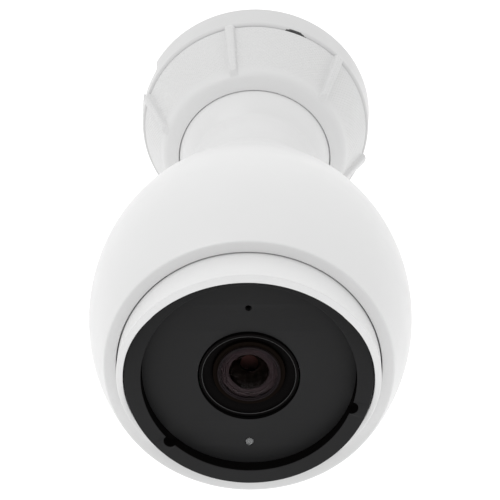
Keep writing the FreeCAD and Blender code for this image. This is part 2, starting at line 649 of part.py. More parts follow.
def make_lens_holder():
    """Square block with the filter's slot, a flange against the chassis and a tube for the barrel."""
    rear = "holder_rear_at"
    block = box("holder_block", "holder_wide", "holder_high", f"holder_slab_at - {rear}")
    flange = cylinder("holder_flange", "holder_flange_rad", "chassis_at - holder_slab_at",
                      up=f"holder_slab_at - {rear}")
    tube = cylinder("holder_tube", "holder_tube_rad", f"holder_front_at - {rear}")
    slot = box("holder_slot", "slot_wide", "slot_high", "slot_deep + over", up="-over")
    bore = cylinder("holder_bore", "barrel_rad + play", f"holder_front_at - {rear} + 2 * over", up="-over")
    solids = fuse("holder_solids", [block, flange, tube])
    whole = cut("lens_holder_cut", solids, fuse("holder_voids", [slot, bore]))
    drop(stand(whole, "lens_holder", rear))


# --- Infrared-cut filter ---------------------------------------------------------------------------

def make_filter():
    """A sliding frame with two panes, one in front of the sensor at each end of its travel."""
    frame = box("frame_blank", "frame_wide", "frame_high", "frame_thick")
    windows = []
    for name, side in (("day_opening", "filter_pitch / 2"), ("night_opening", "-filter_pitch / 2")):
        windows.append(box(name, "filter_side", "filter_side", "frame_thick + 2 * over", side, up="-over"))
    whole = cut("filter_frame_cut", frame, fuse("filter_openings", windows))
    drop(stand(whole, "filter_frame", "frame_at"))
    bind(whole, "Placement.Base.x", "-filter_pitch / 2")
    pane_side = "filter_side - 2 * pane_gap"
    for node, across in (("ir_cut_filter", "0"), ("clear_filter", "-filter_pitch")):
        pane = box(f"{node}_pane", pane_side, pane_side, "frame_thick - 2 * pane_sink", across,
                   up="pane_sink")
        drop(stand(group(f"{node}_group", [pane]), node, "frame_at"))


# --- Boards and chassis ----------------------------------------------------------------------------

# Degrees round the axis from the right, counter-clockwise as seen from the front
EMITTER_ANGLES = (12, 40, 140, 168, 218, 322)
SCREW_ANGLES = (66, 192, 300)


def boss_points():
    """Where the chassis screws go: one on each of the shell's posts."""
    angles = [f"boss_angle + 90 + {place} * 360 / boss_count" for place in range(int(VALUE["boss_count"]))]
    return [polar("boss_circle_rad", degrees) for degrees in angles]


def rim_points():
    """Where the board screws go, in the middle of the chassis's rim."""
    return [polar("(chassis_rim_in + chassis_rim_out) / 2", degrees) for degrees in SCREW_ANGLES]


def make_front_chassis():
    top = "chassis_thick + chassis_rim_tall"
    plate = cylinder("chassis_plate", "chassis_rad", "chassis_thick")
    rim = cut("chassis_rim", cylinder("rim_outside", "chassis_rim_out", top),
              cylinder("rim_inside", "chassis_rim_in", f"{top} + 2 * over", up="-over"))
    through = "chassis_thick + 2 * over"
    voids = [cylinder("chassis_bore", "chassis_hole_rad", through, along="-lens_drop", up="-over")]
    for place, (across, along) in enumerate(boss_points()):
        voids.append(cylinder(f"chassis_hole_{place}", "chassis_screw_rad + 2 * gap", through, across, along,
                              "-over"))
    for place, (across, along) in enumerate(rim_points()):
        voids.append(cylinder(f"rim_hole_{place}", "board_screw_rad", "board_screw_depth + 1.5 * over",
                              across, along, f"{top} - board_screw_depth - over / 2"))
    whole = cut("front_chassis_cut", fuse("chassis_solids", [plate, rim]), fuse("chassis_voids", voids))
    stand(whole, "front_chassis", "chassis_at")


def make_chassis_screws():
    screws = []
    long = "chassis_thick + chassis_screw_depth"
    for place, (across, along) in enumerate(boss_points()):
        head = cylinder(f"chassis_head_{place}", "chassis_head_rad", "chassis_head_thick", across, along,
                        "chassis_thick")
        shank = cylinder(f"chassis_shank_{place}", "boss_hole_rad - gap", long, across, along,
                         "-chassis_screw_depth")
        screws.append(fuse(f"chassis_screw_{place}", [head, shank]))
    stand(group("chassis_screw_group", screws), "chassis_screws", "chassis_at")


EMITTER_BOARD_AT = "chassis_at + chassis_thick + chassis_rim_tall"
EMITTER_FACE_AT = f"{EMITTER_BOARD_AT} + emitter_board_thick"


def make_emitter_board():
    body = new_body("emitter_board")

    def draw(sketch):
        circle(sketch, "emitter_board_out")
        circle(sketch, "emitter_board_in", "0", "-lens_drop")
        for across, along in rim_points():
            circle(sketch, "board_screw_rad + 2 * gap", across, along)

    padded(body, "board", draw, "emitter_board_thick")
    stand(body, "emitter_board", EMITTER_BOARD_AT)


def make_emitters():
    packages = []
    for place, degrees in enumerate(EMITTER_ANGLES):
        across, along = polar("emitter_circle", degrees)
        packages.append(box(f"emitter_{place}", "emitter_side", "emitter_side", "emitter_tall",
                            across, along))
    stand(group("emitter_group", packages), "ir_emitters", EMITTER_FACE_AT)


def make_board_screws():
    screws = []
    long = "emitter_board_thick + board_screw_depth"
    for place, (across, along) in enumerate(rim_points()):
        head = cylinder(f"board_head_{place}", "board_head_rad", "board_head_thick", across, along,
                        "emitter_board_thick")
        shank = cylinder(f"board_shank_{place}", "board_screw_rad - gap", long, across, along,
                         "-board_screw_depth")
        screws.append(fuse(f"board_screw_{place}", [head, shank]))
    stand(group("board_screw_group", screws), "board_screws", EMITTER_BOARD_AT)


def make_light_pipe():
    body = new_body("light_pipe")
    top = f"window_at + pipe_proud - ({EMITTER_FACE_AT})"
    neck = f"window_at - window_thick - 2 * gap - ({EMITTER_FACE_AT})"
    turned(body, [
        ("0", "0"), ("pipe_head_rad", "0"), ("pipe_head_rad", neck), ("pipe_rad", neck),
        ("pipe_rad", f"{top} - pipe_dome", dome_radius("pipe_rad", "pipe_dome")), ("0", top),
    ])
    stand(body, "light_pipe", EMITTER_FACE_AT)
    bind(body, "Placement.Base.z", "sensor_up")


def make_microphone():
    capsule = box("mic_capsule", "mic_side", "mic_side", "mic_tall")
    microphone = stand(group("microphone_group", [capsule]), "microphone", EMITTER_FACE_AT)
    boot_tall = f"window_at - window_thick - ({EMITTER_FACE_AT}) - mic_tall"
    boot = ring_piece("mic_boot", "mic_hole_rad", "boot_rad", boot_tall, f"{EMITTER_FACE_AT} + mic_tall")
    for item in (microphone, boot):
        bind(item, "Placement.Base.z", "mic_up")


def make_sensor_board():
    board = box("sensor_board_slab", "sensor_board_wide", "sensor_board_high", "board_thick")
    drop(stand(group("sensor_board_group", [board]), "sensor_board", "holder_rear_at - board_thick"))
    chip = box("sensor_slab", "sensor_wide", "sensor_high", "sensor_thick")
    drop(stand(group("image_sensor_group", [chip]), "image_sensor", "holder_rear_at"))


def make_main_board():
    body = new_body("main_board")
    padded(body, "board", lambda sketch: circle(sketch, "main_board_rad"), "board_thick")
    # Three notches let the board pass the shell's posts when the chassis goes in.
    reach = "main_board_rad + over - boss_in + board_notch_gap"
    middle = f"main_board_rad + over - ({reach}) / 2"
    wide = "boss_width + 2 * board_notch_gap"
    notch = pocketed(body, "notch", lambda sketch: rectangle(sketch, wide, reach, "0", middle),
                     "board_thick", "board_thick")
    around(body, notch, "boss_count", "notches")
    stand(body, "main_board", "main_board_at", BOSS_TURN)
    face = "main_board_at + board_thick"
    chip = box("chip_slab", "chip_side", "chip_side", "chip_thick")
    stand(group("main_chip_group", [chip]), "main_chip", face)
    pad = box("pad_slab", "chip_side", "chip_side", "pad_thick")
    stand(group("thermal_pad_group", [pad]), "thermal_pad", f"{face} + chip_thick")
    solids = [box("sink_slab", "sink_side", "sink_side", "sink_base")]
    for place in range(int(VALUE["sink_fins"])):
        across = f"(sink_side - sink_fin_thick) * ({place} / (sink_fins - 1) - 0.5)"
        solids.append(box(f"sink_fin_{place}", "sink_fin_thick", "sink_side", "sink_tall", across))
    stand(fuse("heat_sink_fuse", solids), "heat_sink", f"{face} + chip_thick + pad_thick")


def make_standoffs():
    posts = []
    for place, (side, end) in enumerate(((1, 1), (-1, 1), (-1, -1), (1, -1))):
        posts.append(cylinder(f"standoff_{place}", "standoff_rad", "chassis_at - main_board_at - board_thick",
                              f"{side} * standoff_x", f"{end} * standoff_y"))
    stand(group("standoff_group", posts), "board_standoffs", "main_board_at + board_thick")


def make_network_jack():
    """Its socket opens backwards, towards the neck."""
    shell = box("jack_shell", "jack_wide", "jack_high", "jack_long")
    reach = "socket_deep + over"
    socket = box("jack_socket", "socket_wide", "socket_high", reach, along="socket_up", up="-over")
    latch = box("jack_latch", "socket_wide / 2", "latch_high", reach,
                along="socket_up - (socket_high + latch_high) / 2 + bite", up="-over")
    whole = cut("network_jack_cut", shell, fuse("jack_voids", [socket, latch]))
    stand(whole, "network_jack", "main_board_at - jack_long")


def make_reset_button():
    """A switch on the board's rear face and its short key, pressed forwards."""
    can = box("switch_can", "button_side", "button_side", "button_tall")
    well = cylinder("switch_well", "key_rad + play", "key_socket + over", up="-over")
    case = stand(cut("reset_switch_cut", can, well), "reset_switch", "main_board_at - button_tall")
    stem = cylinder("key_stem", "key_rad", "key_tall")
    key = stand(group("reset_key_group", [stem]), "reset_key", "main_board_at - button_tall - key_proud")
    for item in (case, key):
        bind(item, "Placement.Base.x", "button_x")


make_mount_base()
make_base_gasket()
make_locking_ring()
make_clamp_washer()
make_ball_seat()
make_outer_shell()
make_neck_gland()
make_front_bezel()
make_bezel_seal()
make_front_plate()
make_ir_window()
make_window_gasket()
make_lens_hood()
make_lens_barrel()
make_front_lens()
make_inner_lens("middle_lens", "middle_lens_at", "middle_lens_dome")
make_inner_lens("rear_lens", "rear_lens_at", "rear_lens_dome")
make_lens_retainer()
make_lens_holder()
make_filter()
make_front_chassis()
make_chassis_screws()
make_emitter_board()
make_emitters()
make_board_screws()
make_light_pipe()
make_microphone()
make_sensor_board()
make_main_board()
make_standoffs()
make_network_jack()
make_reset_button()
doc.recompute()

for item in doc.Objects:
    if "Invalid" in item.State or "Error" in item.State:
        raise RuntimeError(f"{item.Name} ({item.Label}) did not build")

os.makedirs("parts", exist_ok=True)
for piece in pieces:
    shape = piece.Shape
    if shape.isNull() or not shape.isValid():
        raise RuntimeError(f"{piece.Label} has no valid shape")
    shape.exportStep(f"parts/{piece.Label}.step")
    print(f"{piece.Label}: {len(shape.Solids)} solid(s), {shape.Volume:.0f} mm3")
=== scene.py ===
import json
import math

import bmesh
import bpy
from mathutils import Matrix, Vector


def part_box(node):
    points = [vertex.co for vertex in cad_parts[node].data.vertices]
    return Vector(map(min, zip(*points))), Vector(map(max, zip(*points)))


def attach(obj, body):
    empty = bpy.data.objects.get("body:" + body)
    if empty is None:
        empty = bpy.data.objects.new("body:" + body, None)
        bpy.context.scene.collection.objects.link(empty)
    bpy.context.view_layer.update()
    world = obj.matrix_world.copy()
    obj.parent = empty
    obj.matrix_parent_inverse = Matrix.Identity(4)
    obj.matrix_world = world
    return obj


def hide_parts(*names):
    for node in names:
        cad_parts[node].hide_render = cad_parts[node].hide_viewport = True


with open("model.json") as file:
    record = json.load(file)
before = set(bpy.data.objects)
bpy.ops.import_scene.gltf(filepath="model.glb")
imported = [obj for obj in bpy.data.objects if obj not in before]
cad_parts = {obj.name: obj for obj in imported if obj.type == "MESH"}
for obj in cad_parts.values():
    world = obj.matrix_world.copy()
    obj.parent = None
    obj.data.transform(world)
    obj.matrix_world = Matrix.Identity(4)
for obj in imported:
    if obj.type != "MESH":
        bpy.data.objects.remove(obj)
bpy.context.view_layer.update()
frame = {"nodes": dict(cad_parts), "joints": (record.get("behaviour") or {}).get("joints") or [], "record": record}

# Lengths below are in millimetres. "Front" is a distance in front of the wall, along -Y, and an angle
# goes round the camera's axis from +X towards +Z, in degrees.
MM = 0.001
ROUND_STEPS = 5
GUARD = 1.3
ARC_STEP = 1.2
LATHE_STEPS = 224
SHARP_ANGLE = 32


def front_of(node):
    """How far from the wall a CAD node reaches."""
    return -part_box(node)[0].y / MM


def rear_of(node):
    """Where a CAD node begins, counted from the wall."""
    return -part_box(node)[1].y / MM


def reach_of(node):
    """Half of a CAD node's width."""
    low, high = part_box(node)
    return (high.x - low.x) / 2 / MM


def height_of(node):
    """How far a CAD node's middle lies above the axis."""
    low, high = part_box(node)
    return (high.z + low.z) / 2 / MM


BASE_FRONT = 10.5
BASE_REAR_RAD = reach_of("mount_base")
RING_REAR = rear_of("locking_ring")
RING_FRONT = front_of("locking_ring")
BALL_RAD = 21.6
BALL_AT = -next(joint for joint in frame["joints"] if joint["name"] == "pan")["pos_m"][1] / MM
RIM_AT = front_of("outer_shell")
SHELL_REAR = rear_of("outer_shell")
WINDOW_AT = front_of("ir_window")
WINDOW_REAR = rear_of("ir_window")
PLATE_FRONT = front_of("front_plate")
BROW_AT = front_of("front_bezel")
LENS_UP = height_of("lens_hood")
# The glass stands further forward here than its CAD nodes do, and the hood's lip further back.
HOOD_SET_BACK = 1.5
HOOD_TOP = front_of("lens_hood") - HOOD_SET_BACK
GLASS_FORWARD = 1.0
GLASS_EDGE = front_of("lens_barrel") + GLASS_FORWARD
GLASS_SEAT_DEPTH = 0.35
GLASS_SEAT = GLASS_EDGE - GLASS_SEAT_DEPTH


# --- Outlines --------------------------------------------------------------------------------------

def arc_between(start, end, radius, steps):
    """Points strictly between two, on an arc that bulges to the right of the way walked, or to the left
    for a negative radius."""
    start, end = Vector(start), Vector(end)
    chord = end - start
    right = Vector((chord.y, -chord.x)).normalized()
    half = chord.length / 2
    drop = math.sqrt(max(radius * radius - half * half, 0.0))
    centre = (start + end) / 2 - right * math.copysign(drop, radius)
    first = math.atan2(start.y - centre.y, start.x - centre.x)
    sweep = 2 * math.asin(min(1.0, half / abs(radius)))
    turn = math.copysign(sweep, radius)
    bearings = [first + turn * i / steps for i in range(1, steps)]
    return [centre + Vector((math.cos(bearing), math.sin(bearing))) * abs(radius) for bearing in bearings]


def outline(corners, closed=True):
    """A fine outline from (across, front, bulge, soft) corners. Bulge is the radius of the arc to the next
    corner, as arc_between takes it, and soft is how far from the corner its rounding starts. Both may be
    left out."""
    points = []
    for place, corner in enumerate(corners):
        across, front, bulge, soft = (*corner, 0, 0)[:4]
        points.append((Vector((across, front)), soft))
        following = corners[(place + 1) % len(corners)]
        if bulge and (closed or place + 1 < len(corners)):
            steps = max(6, int(math.dist(corner[:2], following[:2]) / ARC_STEP))
            points += [(p, 0) for p in arc_between(corner[:2], following[:2], bulge, steps)]
    return soften(points, closed)


def step_away(points, place, way, distance):
    """The point that lies a distance along the outline from one of its points."""
    here = points[place][0]
    while True:
        place = (place + way) % len(points)
        there = points[place][0]
        length = (there - here).length
        if length >= distance:
            return here.lerp(there, distance / length), place
        distance -= length
        here = there


def soften(points, closed):
    """Round each corner that asks for it, with a close pair of points where the rounding ends, so that
    smooth shading stays flat on the faces beside it."""
    count = len(points)
    dropped = set()
    rounded = {}
    for place, (corner, soft) in enumerate(points):
        if not soft or (not closed and place in (0, count - 1)):
            continue
        before = step_away(points, place, -1, soft)[0]
        after = step_away(points, place, 1, soft)[0]
        guard_before, last_kept = step_away(points, place, -1, soft * GUARD)
        guard_after, next_kept = step_away(points, place, 1, soft * GUARD)
        walk = (last_kept + 1) % count
        while walk != next_kept:
            dropped.add(walk)
            walk = (walk + 1) % count
        curve = [guard_before]
        for i in range(ROUND_STEPS + 1):
            t = i / ROUND_STEPS
            curve.append(before * (1 - t) ** 2 + corner * (2 * t * (1 - t)) + after * t * t)
        rounded[place] = curve + [guard_after]
    made = []
    for place, (corner, _) in enumerate(points):
        if place in rounded:
            made += rounded[place]
        elif place not in dropped:
            made.append(corner)
    return made


def refine(points, longest):
    """Split each run of a closed outline that is longer than a length."""
    made = []
    for here, there in zip(points, points[1:] + points[:1]):
        steps = max(1, math.ceil((there - here).length / longest))
        made += [here.lerp(there, i / steps) for i in range(steps)]
    return made


# --- Meshes ----------------------------------------------------------------------------------------

def place_on_axis(across, front, angle, up=0.0):
    """A point in the row frame, in metres, from a radius, a distance from the wall and an angle."""
    return Vector((across * math.cos(angle), -front, across * math.sin(angle) + up)) * MM


def even_angles(count=LATHE_STEPS):
    return [math.tau * i / count for i in range(count)]


def new_piece(name, mesh, body, replaces):
    """Add a piece that rides on a body and stands for CAD nodes, which it hides from view."""
    piece = bpy.data.objects.new(name, mesh)
    bpy.context.scene.collection.objects.link(piece)
    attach(piece, body)
    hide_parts(*replaces)
    return piece


def mesh_from(name, bm, sharp_angle=None):
    bm.normal_update()
    bmesh.ops.recalc_face_normals(bm, faces=bm.faces)
    mesh = bpy.data.meshes.new(name)
    bm.to_mesh(mesh)
    bm.free()
    mesh.shade_smooth()
    if sharp_angle:
        mesh.set_sharp_from_angle(angle=math.radians(sharp_angle))
    return mesh


def lathe_mesh(name, points, angles=None, up=0.0, bend=None):
    """Turn a closed outline of (radius, front) points about the axis. bend() may move each point, from
    its radius, front and angle to a new radius and front."""
    angles = angles or even_angles()
    bm = bmesh.new()
    rings = []
    for point in points:
        if point.x < 1e-6:
            rings.append([bm.verts.new(place_on_axis(0, point.y, 0, up))])
            continue
        ring = []
        for angle in angles:
            radius, front = bend(point.x, point.y, angle) if bend else point
            ring.append(bm.verts.new(place_on_axis(radius, front, angle, up)))
        rings.append(ring)
    count = len(angles)
    for place, ring in enumerate(rings):
        following = rings[(place + 1) % len(rings)]
        if len(ring) == 1 and len(following) == 1:
            continue
        for i in range(count):
            k = (i + 1) % count
            if len(ring) == 1:
                bm.faces.new((ring[0], following[i], following[k]))
            elif len(following) == 1:
                bm.faces.new((ring[i], ring[k], following[0]))
            else:
                bm.faces.new((ring[i], ring[k], following[k], following[i]))
    return mesh_from(name, bm)


def paint_faces(piece, material, chosen):
    """Give a second material to the faces whose middle, in millimetres, chosen() accepts."""
    piece.data.materials.append(material)
    index = len(piece.data.materials) - 1
    for face in piece.data.polygons:
        if chosen(face.center / MM):
            face.material_index = index


def sheet_with_holes(name, loops, front, thick, soft):
    """A flat plate from closed loops of (x, z) points: the first is its edge, the others are holes. Its
    front face is at a distance from the wall, and soft rounds its edges."""
    curve = bpy.data.curves.new(name, "CURVE")
    curve.dimensions = "2D"
    curve.fill_mode = "BOTH"
    curve.extrude = (thick / 2 - soft) * MM
    curve.bevel_depth = soft * MM
    curve.bevel_resolution = 3
    curve.offset = -soft * MM
    for loop in loops:
        spline = curve.splines.new("POLY")
        spline.points.add(len(loop) - 1)
        for point, (x, z) in zip(spline.points, loop):
            point.co = (x * MM, z * MM, 0, 1)
        spline.use_cyclic_u = True
    holder = bpy.data.objects.new(f"{name}_outline", curve)
    mesh = bpy.data.meshes.new_from_object(holder)
    bpy.data.objects.remove(holder)
    bpy.data.curves.remove(curve)
    move = Matrix.Translation((0, -(front - thick / 2) * MM, 0))
    mesh.transform(move @ Matrix.Rotation(math.pi / 2, 4, "X"))
    bm = bmesh.new()
    bm.from_mesh(mesh)
    bpy.data.meshes.remove(mesh)
    bmesh.ops.remove_doubles(bm, verts=bm.verts, dist=1e-6)
    return mesh_from(name, bm, 35)


def circle_loop(radius, count, z=0.0):
    angles = even_angles(count)
    return [(radius * math.cos(angle), z + radius * math.sin(angle)) for angle in angles]


def cut_away(mesh, tools, how="DIFFERENCE"):
    """The mesh less each tool mesh, or joined with it, by exact booleans."""
    base = bpy.data.objects.new("boolean_base", mesh)
    bpy.context.scene.collection.objects.link(base)
    cutters = []
    for tool in tools:
        cutter = bpy.data.objects.new("boolean_tool", tool)
        bpy.context.scene.collection.objects.link(cutter)
        cutters.append(cutter)
        modifier = base.modifiers.new("boolean", "BOOLEAN")
        modifier.operation = how
        modifier.solver = "EXACT"
        modifier.object = cutter
    view = bpy.context.evaluated_depsgraph_get()
    made = bpy.data.meshes.new_from_object(base.evaluated_get(view))
    made.name = mesh.name
    for item in (base, *cutters):
        bpy.data.objects.remove(item)
    made.shade_smooth()
    made.set_sharp_from_angle(angle=math.radians(SHARP_ANGLE))
    return made


def drum_mesh(radius, rear, front, x, z, front_radius=None):
    """A short turned drum along the camera's axis, used to cut holes. It may be a cone."""
    bm = bmesh.new()
    centre = Vector((x, -(rear + front) / 2, z)) * MM
    facing = Matrix.Translation(centre) @ Matrix.Rotation(math.pi / 2, 4, "X")
    bmesh.ops.create_cone(bm, cap_ends=True, segments=64, radius1=radius * MM,
                          radius2=(front_radius or radius) * MM, depth=(front - rear) * MM, matrix=facing)
    return mesh_from("drum", bm)


# --- Wall base -------------------------------------------------------------------------------------

SCREW_CIRCLE = next(mount for mount in frame["record"]["mounts"] if mount["name"] == "wall_screws")["dims"]
SCREW_HEAD_RAD = 4.3
FLOOR_DEPTH = 3.2
FLOOR_HOLE_RAD = 9.5
RIM_FRONT_RAD = BASE_REAR_RAD - 0.5
GASKET_THICK = 1.2
GASKET_IN = 30.7
GASKET_OUT = 31.6
COLLAR_RAD = 25.2
COLLAR_IN = 22.0
COLLAR_FRONT = 22.5
SEAT_AT = 11.0
SEAT_IN = 20.6
HOLLOW_IN = 25.6
HOLLOW_OUT = 30.6
HOLLOW_DEPTH = 7.6
WEB_THICK = 1.6
OUTLET_ANGLE = math.radians(159.5)
OUTLET_IN = 30.3
OUTLET_WIDE = 10.7
OUTLET_TALL = 6.5
SCOOP_ANGLE = math.radians(69)
SCOOP_RAD = 12.0
SCOOP_RISE = 11.6
SCOOP_DEPTH = 2.4


def block_mesh(name, near, far, rear, front, wide, angle, soft):
    """A block across the rim at an angle, between two radii and two distances from the wall."""
    bm = bmesh.new()
    bmesh.ops.create_cube(bm, size=1)
    bmesh.ops.scale(bm, vec=Vector((far - near, front - rear, wide)) * MM, verts=bm.verts)
    bmesh.ops.bevel(bm, geom=bm.edges, offset=soft * MM, segments=3, affect="EDGES")
    centre = Vector(((near + far) / 2, -(rear + front) / 2, 0)) * MM
    bm.transform(Matrix.Rotation(-angle, 4, "Y") @ Matrix.Translation(centre))
    return mesh_from(name, bm)


def outlet_mesh():
    """The opening in the rim, towards the wall, where a cable can enter from the side."""
    return block_mesh("outlet", OUTLET_IN, BASE_REAR_RAD + 2, -3, OUTLET_TALL, OUTLET_WIDE, OUTLET_ANGLE, 0.6)


def is_in_scoop_shade(middle):
    """True inside the scoop, whose faces get a dark grey rubber finish as painted shade."""
    out = middle.x * math.cos(SCOOP_ANGLE) + middle.z * math.sin(SCOOP_ANGLE)
    aside = middle.z * math.cos(SCOOP_ANGLE) - middle.x * math.sin(SCOOP_ANGLE)
    reach = math.hypot(aside, -middle.y - BASE_FRONT - SCOOP_RISE)
    return out > BASE_REAR_RAD - 0.6 - SCOOP_DEPTH and reach < SCOOP_RAD + 0.05


def make_wall_base():
    points = outline([
        (FLOOR_HOLE_RAD, 0, 0, 0.3), (HOLLOW_IN, 0, 0, 0.25), (HOLLOW_IN, HOLLOW_DEPTH, 0, 0.4),
        (HOLLOW_OUT, HOLLOW_DEPTH, 0, 0.4), (HOLLOW_OUT, GASKET_THICK, 0, 0.2),
        (BASE_REAR_RAD, GASKET_THICK, 0, 0.25), (RIM_FRONT_RAD, BASE_FRONT, 0, 1.1),
        (COLLAR_RAD, BASE_FRONT, 0, 0.3), (COLLAR_RAD, COLLAR_FRONT, 0, 0.3),
        (COLLAR_IN, COLLAR_FRONT, 0, 0.3), (COLLAR_IN, SEAT_AT, 0, 0.2), (SEAT_IN, SEAT_AT, 0, 0.2),
        (SEAT_IN, FLOOR_DEPTH, 0, 0.5), (FLOOR_HOLE_RAD, FLOOR_DEPTH, 0, 0.3),
    ])
    webs = [block_mesh("web", HOLLOW_IN - 0.5, HOLLOW_OUT + 0.5, GASKET_THICK, HOLLOW_DEPTH + 0.6, WEB_THICK,
                       math.radians(60 * i), 0.25) for i in range(6)]
    mesh = cut_away(lathe_mesh("wall_base", points), webs, "UNION")
    cutters = [outlet_mesh()]
    for i in range(SCREW_CIRCLE["count"]):
        angle = math.radians(90 + 120 * i)
        x = SCREW_CIRCLE["pcd_mm"] / 2 * math.cos(angle)
        z = SCREW_CIRCLE["pcd_mm"] / 2 * math.sin(angle)
        cutters.append(drum_mesh(SCREW_CIRCLE["hole_r_mm"], -1, FLOOR_DEPTH + 1, x, z))
        cutters.append(drum_mesh(SCREW_CIRCLE["hole_r_mm"], 1.2, FLOOR_DEPTH + 0.05, x, z, SCREW_HEAD_RAD))
    cutters.append(scoop_mesh())
    mesh = cut_away(mesh, cutters)
    piece = new_piece("wall_base", mesh, "mount", ["mount_base"])
    piece.data.materials.append(white_plastic("base_white", 0.585))
    # The scoop's faces are painted dark grey with the rubber finish, as painted shade inside the scoop.
    paint_faces(piece, rubber("scoop_painted_shade", 0.09), is_in_scoop_shade)


def scoop_mesh():
    """The half-round scoop in the flange's front edge."""
    bm = bmesh.new()
    long = SCOOP_DEPTH + 2
    centre = Vector((RIM_FRONT_RAD - SCOOP_DEPTH + long / 2, -(BASE_FRONT + SCOOP_RISE), 0)) * MM
    lie = Matrix.Rotation(-SCOOP_ANGLE, 4, "Y") @ Matrix.Translation(centre)
    bmesh.ops.create_cone(bm, cap_ends=True, segments=64, radius1=SCOOP_RAD * MM, radius2=SCOOP_RAD * MM,
                          depth=long * MM, matrix=lie @ Matrix.Rotation(math.pi / 2, 4, "Y"))
    return mesh_from("scoop", bm)


# --- Locking ring ----------------------------------------------------------------------------------

RIB_COUNT = 6
RIB_FIRST = math.radians(42.7)
RIB_HALF_REAR = 1.45
RIB_HALF_FRONT = 1.1
RIB_NOSE_AT = 27.7
LIP_GAP = 0.2
LIP_REAR = 27.9
RING_SHOULDER = (25.1, 28.4)
RING_REAR_RAD = 31.4
RING_THREAD_RAD = 25.3
RING_BORE_RAD = 23.8
RING_THREAD_END = 23.0
# A rib's crest, as (front, radius) points.
RIB_TOP = [(10.7, 32.2), (11.1, 32.7), (11.9, 32.75), (27.1, 26.85),
           (27.6, 26.4), (28.0, 25.6), (28.25, 25.0)]


def interpolate(table, value):
    """Straight-line reading of a table of (value, result) pairs."""
    for (low, low_result), (high, high_result) in zip(table, table[1:]):
        if value <= high:
            share = max(0.0, (value - low) / (high - low))
            return low_result + share * (high_result - low_result)
    return table[-1][1]


def smooth(share):
    """Ease a share of 0 to 1 in and out."""
    share = min(1.0, max(0.0, share))
    return share * share * (3 - 2 * share)


def ring_bore(front):
    """The ring's inner radius at a distance from the wall."""
    return RING_THREAD_RAD if front < RING_THREAD_END + 0.1 else RING_BORE_RAD


def ribbed(radius, front, angle):
    """Raise the ring's outer skin into its grip ribs, which are round across and narrow towards the front."""
    if radius < ring_bore(front) + 0.3 or front > RIB_TOP[-1][0]:
        return radius, front
    turn = math.tau / RIB_COUNT
    offset = (angle - RIB_FIRST + turn / 2) % turn - turn / 2
    half = interpolate([(RING_REAR, RIB_HALF_REAR), (RIB_NOSE_AT, RIB_HALF_FRONT)], front)
    aside = abs(radius * math.sin(offset)) / half
    rise = max(0.0, interpolate(RIB_TOP, front) - radius)
    crown = math.sqrt(max(0.0, 1 - min(aside, 1.0) ** 3.2))
    return radius + rise * (crown * 0.88 + 0.12 * smooth(1.6 - aside)), front


def rib_angles():
    """Angles round the ring, close together across each rib."""
    fine = [math.radians(step * 0.2) for step in range(-26, 27)]
    coarse = [math.radians(step * 1.6) for step in range(4, 35)]
    found = []
    for i in range(RIB_COUNT):
        middle = RIB_FIRST + i * math.tau / RIB_COUNT
        found += [middle + offset for offset in fine]
        found += [middle + offset for offset in coarse if offset < math.tau / RIB_COUNT - math.radians(5.4)]
    return sorted(angle % math.tau for angle in found)


def ring_outline():
    ball_gap = BALL_RAD + LIP_GAP
    lip = RING_FRONT - 0.12
    lip_rad = math.sqrt(ball_gap ** 2 - (lip - BALL_AT) ** 2)
    rear_lip_rad = math.sqrt(ball_gap ** 2 - (LIP_REAR - BALL_AT) ** 2)
    return refine(outline([
        (RING_THREAD_RAD, RING_REAR, 0, 0.2), (RING_REAR_RAD, RING_REAR, 0, 0.4), (*RING_SHOULDER, 0, 1.4),
        (22.0, 30.05, 0, 0.5), (lip_rad + 0.1, RING_FRONT, 0, 0.1), (lip_rad, lip, -ball_gap),
        (rear_lip_rad, LIP_REAR, 0, 0.1), (RING_BORE_RAD, LIP_REAR), (RING_BORE_RAD, RING_THREAD_END),
        (RING_THREAD_RAD, RING_THREAD_END),
    ]), 0.4)


def make_locking_ring():
    mesh = lathe_mesh("locking_ring_body", ring_outline(), rib_angles(), bend=ribbed)
    piece = new_piece("locking_ring_body", mesh, "ring", ["locking_ring"])
    piece.data.materials.append(knurled_plastic())


# --- Head shell ------------------------------------------------------------------------------------

WALL = 2.4
NECK_RAD = 17.0
NECK_FILLET = 2.5
NECK_BORE_RAD = 11.0
GLAND_SEAT_RAD = 12.5
GROOVE_IN = 14.0
GROOVE_OUT = 16.3
BELLY = (39.75, 117.0)
RIM_RAD = 34.7
MOUTH_RAD = 31.7
NECK_SWEEP = 32.7
SHOULDER_SWEEP = 69.9
BELLY_SWEEP = 62.7
SHOULDER_LOW = (19.9, 58.0)
SHOULDER_HIGH = (33.17, 87.4)


